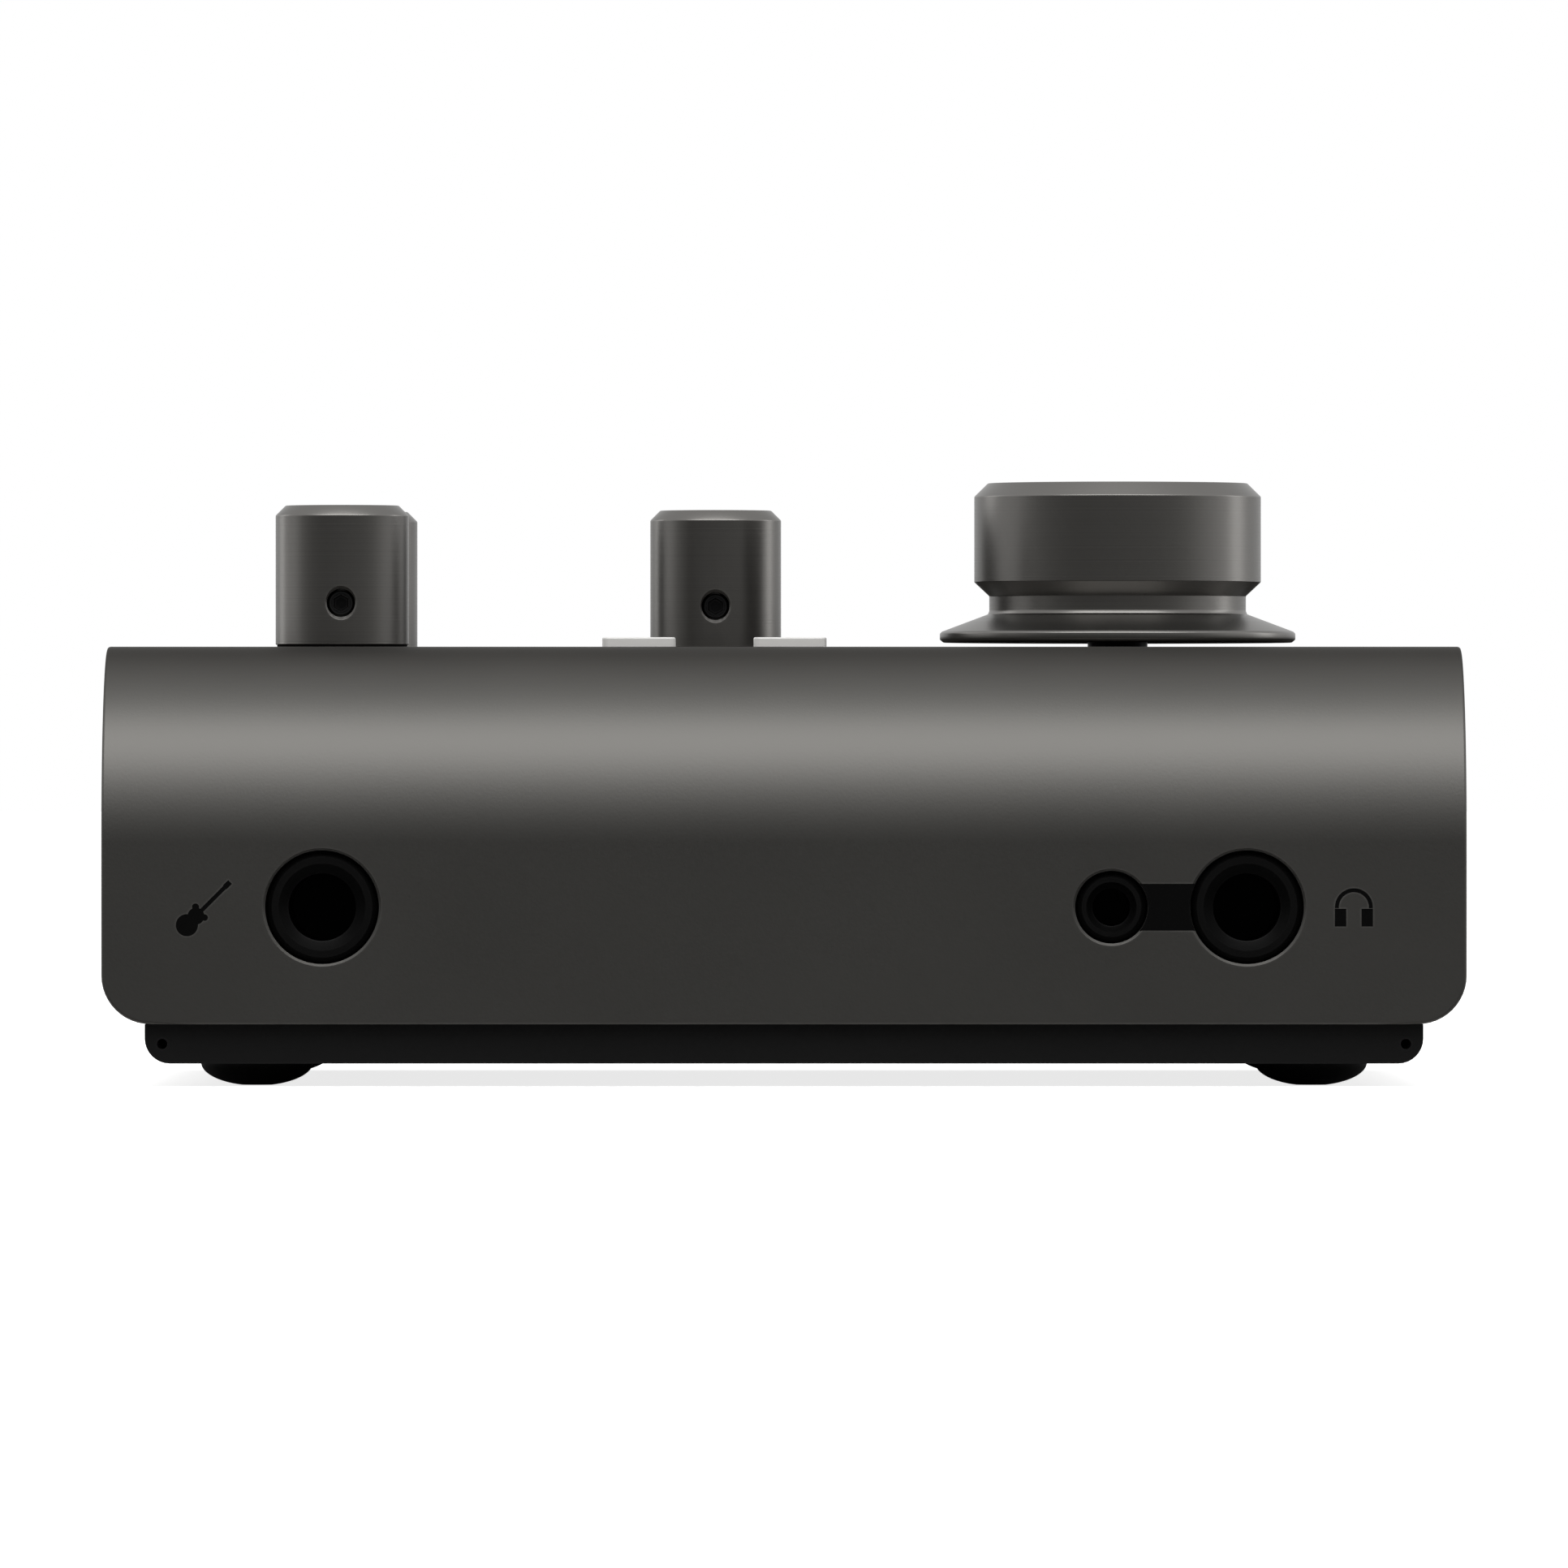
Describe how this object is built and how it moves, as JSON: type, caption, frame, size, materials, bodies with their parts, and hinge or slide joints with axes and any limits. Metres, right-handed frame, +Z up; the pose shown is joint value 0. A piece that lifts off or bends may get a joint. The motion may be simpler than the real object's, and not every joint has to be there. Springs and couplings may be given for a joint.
{
  "type": "audio interface",
  "caption": "Small desktop audio interface: bullnosed aluminium shell on a steel tray, turned knobs, push buttons, and jacks in the front and rear.",
  "frame": {"origin": "on the table, under the middle of the shell, at the height of the feet's lower faces", "axes": "+X to the user's right, +Y to the rear, +Z up"},
  "size_m": [0.133, 0.12, 0.0596],
  "materials": {
    "anodised_shell": "bead-blasted and anodised gunmetal",
    "turned_aluminium": "turned and anodised gunmetal",
    "satin_aluminium": "satin, clear anodised",
    "black_steel": "fine black powder coat",
    "rubber": "moulded, matte",
    "black_plastic": "moulded, fine grain",
    "black_screw": "black oxide",
    "plain_steel": "bright plated",
    "frosted_plastic": "frosted clear",
    "board_laminate": "solder mask",
    "chip_resin": "moulded resin"
  },
  "bodies": {
    "chassis": {"base_screw_front_left": "black_screw", "base_screw_front_right": "black_screw", "base_screw_rear_left": "black_screw", "base_screw_rear_right": "black_screw", "base_tray": "black_steel", "board_link": "black_plastic", "control_board": "board_laminate", "control_board_screw_front_right": "plain_steel", "control_board_screw_middle_left": "plain_steel", "control_board_screw_rear_left": "plain_steel", "control_board_screw_rear_right": "plain_steel", "converter": "chip_resin", "encoder_body": "black_plastic", "encoder_bracket": "plain_steel", "foot_front_left": "rubber", "foot_front_right": "rubber", "foot_rear_left": "rubber", "foot_rear_right": "rubber", "headphone_jack_large": "black_plastic", "headphone_jack_small": "black_plastic", "instrument_gain_potentiometer": "black_plastic", "instrument_jack": "black_plastic", "left_switch_body": "black_plastic", "line_out_jack_1": "black_plastic", "line_out_jack_2": "black_plastic", "main_board": "board_laminate", "main_board_screw_front_left": "plain_steel", "main_board_screw_front_right": "plain_steel", "main_board_screw_rear_left": "plain_steel", "main_board_screw_rear_right": "plain_steel", "meter_light_guide": "frosted_plastic", "mic_gain_potentiometer": "black_plastic", "mic_input_socket": "black_plastic", "monitor_mix_potentiometer": "black_plastic", "panel_screw_left": "black_screw", "panel_screw_right": "black_screw", "processor": "chip_resin", "rear_panel": "black_steel", "right_switch_body": "black_plastic", "supply_capacitor": "satin_aluminium", "supply_inductor": "chip_resin", "top_shell": "anodised_shell", "usb_socket": "plain_steel"},
    "mic_gain_control": {"mic_gain_knob": "turned_aluminium", "mic_gain_shaft": "plain_steel", "mic_gain_set_screw": "black_screw"},
    "instrument_gain_control": {"instrument_gain_knob": "turned_aluminium", "instrument_gain_shaft": "plain_steel", "instrument_gain_set_screw": "black_screw"},
    "monitor_mix_control": {"monitor_mix_knob": "turned_aluminium", "monitor_mix_shaft": "plain_steel", "monitor_mix_set_screw": "black_screw"},
    "volume_rotor": {"encoder_rotor": "plain_steel"},
    "volume_control": {"volume_knob": "turned_aluminium", "encoder_shaft": "plain_steel", "volume_set_screw": "black_screw"},
    "left_button": {"left_button_cap": "satin_aluminium", "left_switch_plunger": "plain_steel"},
    "right_button": {"right_button_cap": "satin_aluminium", "right_switch_plunger": "plain_steel"}
  },
  "joints": [
    {"name": "mic_gain_turn", "type": "hinge", "parent": "chassis", "child": "mic_gain_control", "pos_m": [-0.0438, 0.024, 0.043], "axis": [0, 0, 1], "range_deg": [-150, 150]},
    {"name": "instrument_gain_turn", "type": "hinge", "parent": "chassis", "child": "instrument_gain_control", "pos_m": [-0.0438, -0.024, 0.043], "axis": [0, 0, 1], "range_deg": [-150, 150]},
    {"name": "monitor_mix_turn", "type": "hinge", "parent": "chassis", "child": "monitor_mix_control", "pos_m": [-0.0069, 0.014, 0.043], "axis": [0, 0, 1], "range_deg": [-150, 150]},
    {"name": "volume_turn", "type": "hinge", "parent": "chassis", "child": "volume_rotor", "pos_m": [0.0334, -0.0035, 0.043], "axis": [0, 0, 1], "continuous": true},
    {"name": "volume_push", "type": "slide", "parent": "volume_rotor", "child": "volume_control", "axis": [0, 0, -1], "range_m": [0, 0.0005], "stiffness_N_per_m": 8000, "springref_m": -0.00025},
    {"name": "left_button_press", "type": "slide", "parent": "chassis", "child": "left_button", "axis": [0, 0, -1], "range_m": [0, 0.0004], "stiffness_N_per_m": 3000, "springref_m": -0.0002},
    {"name": "right_button_press", "type": "slide", "parent": "chassis", "child": "right_button", "axis": [0, 0, -1], "range_m": [0, 0.0004], "stiffness_N_per_m": 3000, "springref_m": -0.0002}
  ]
}
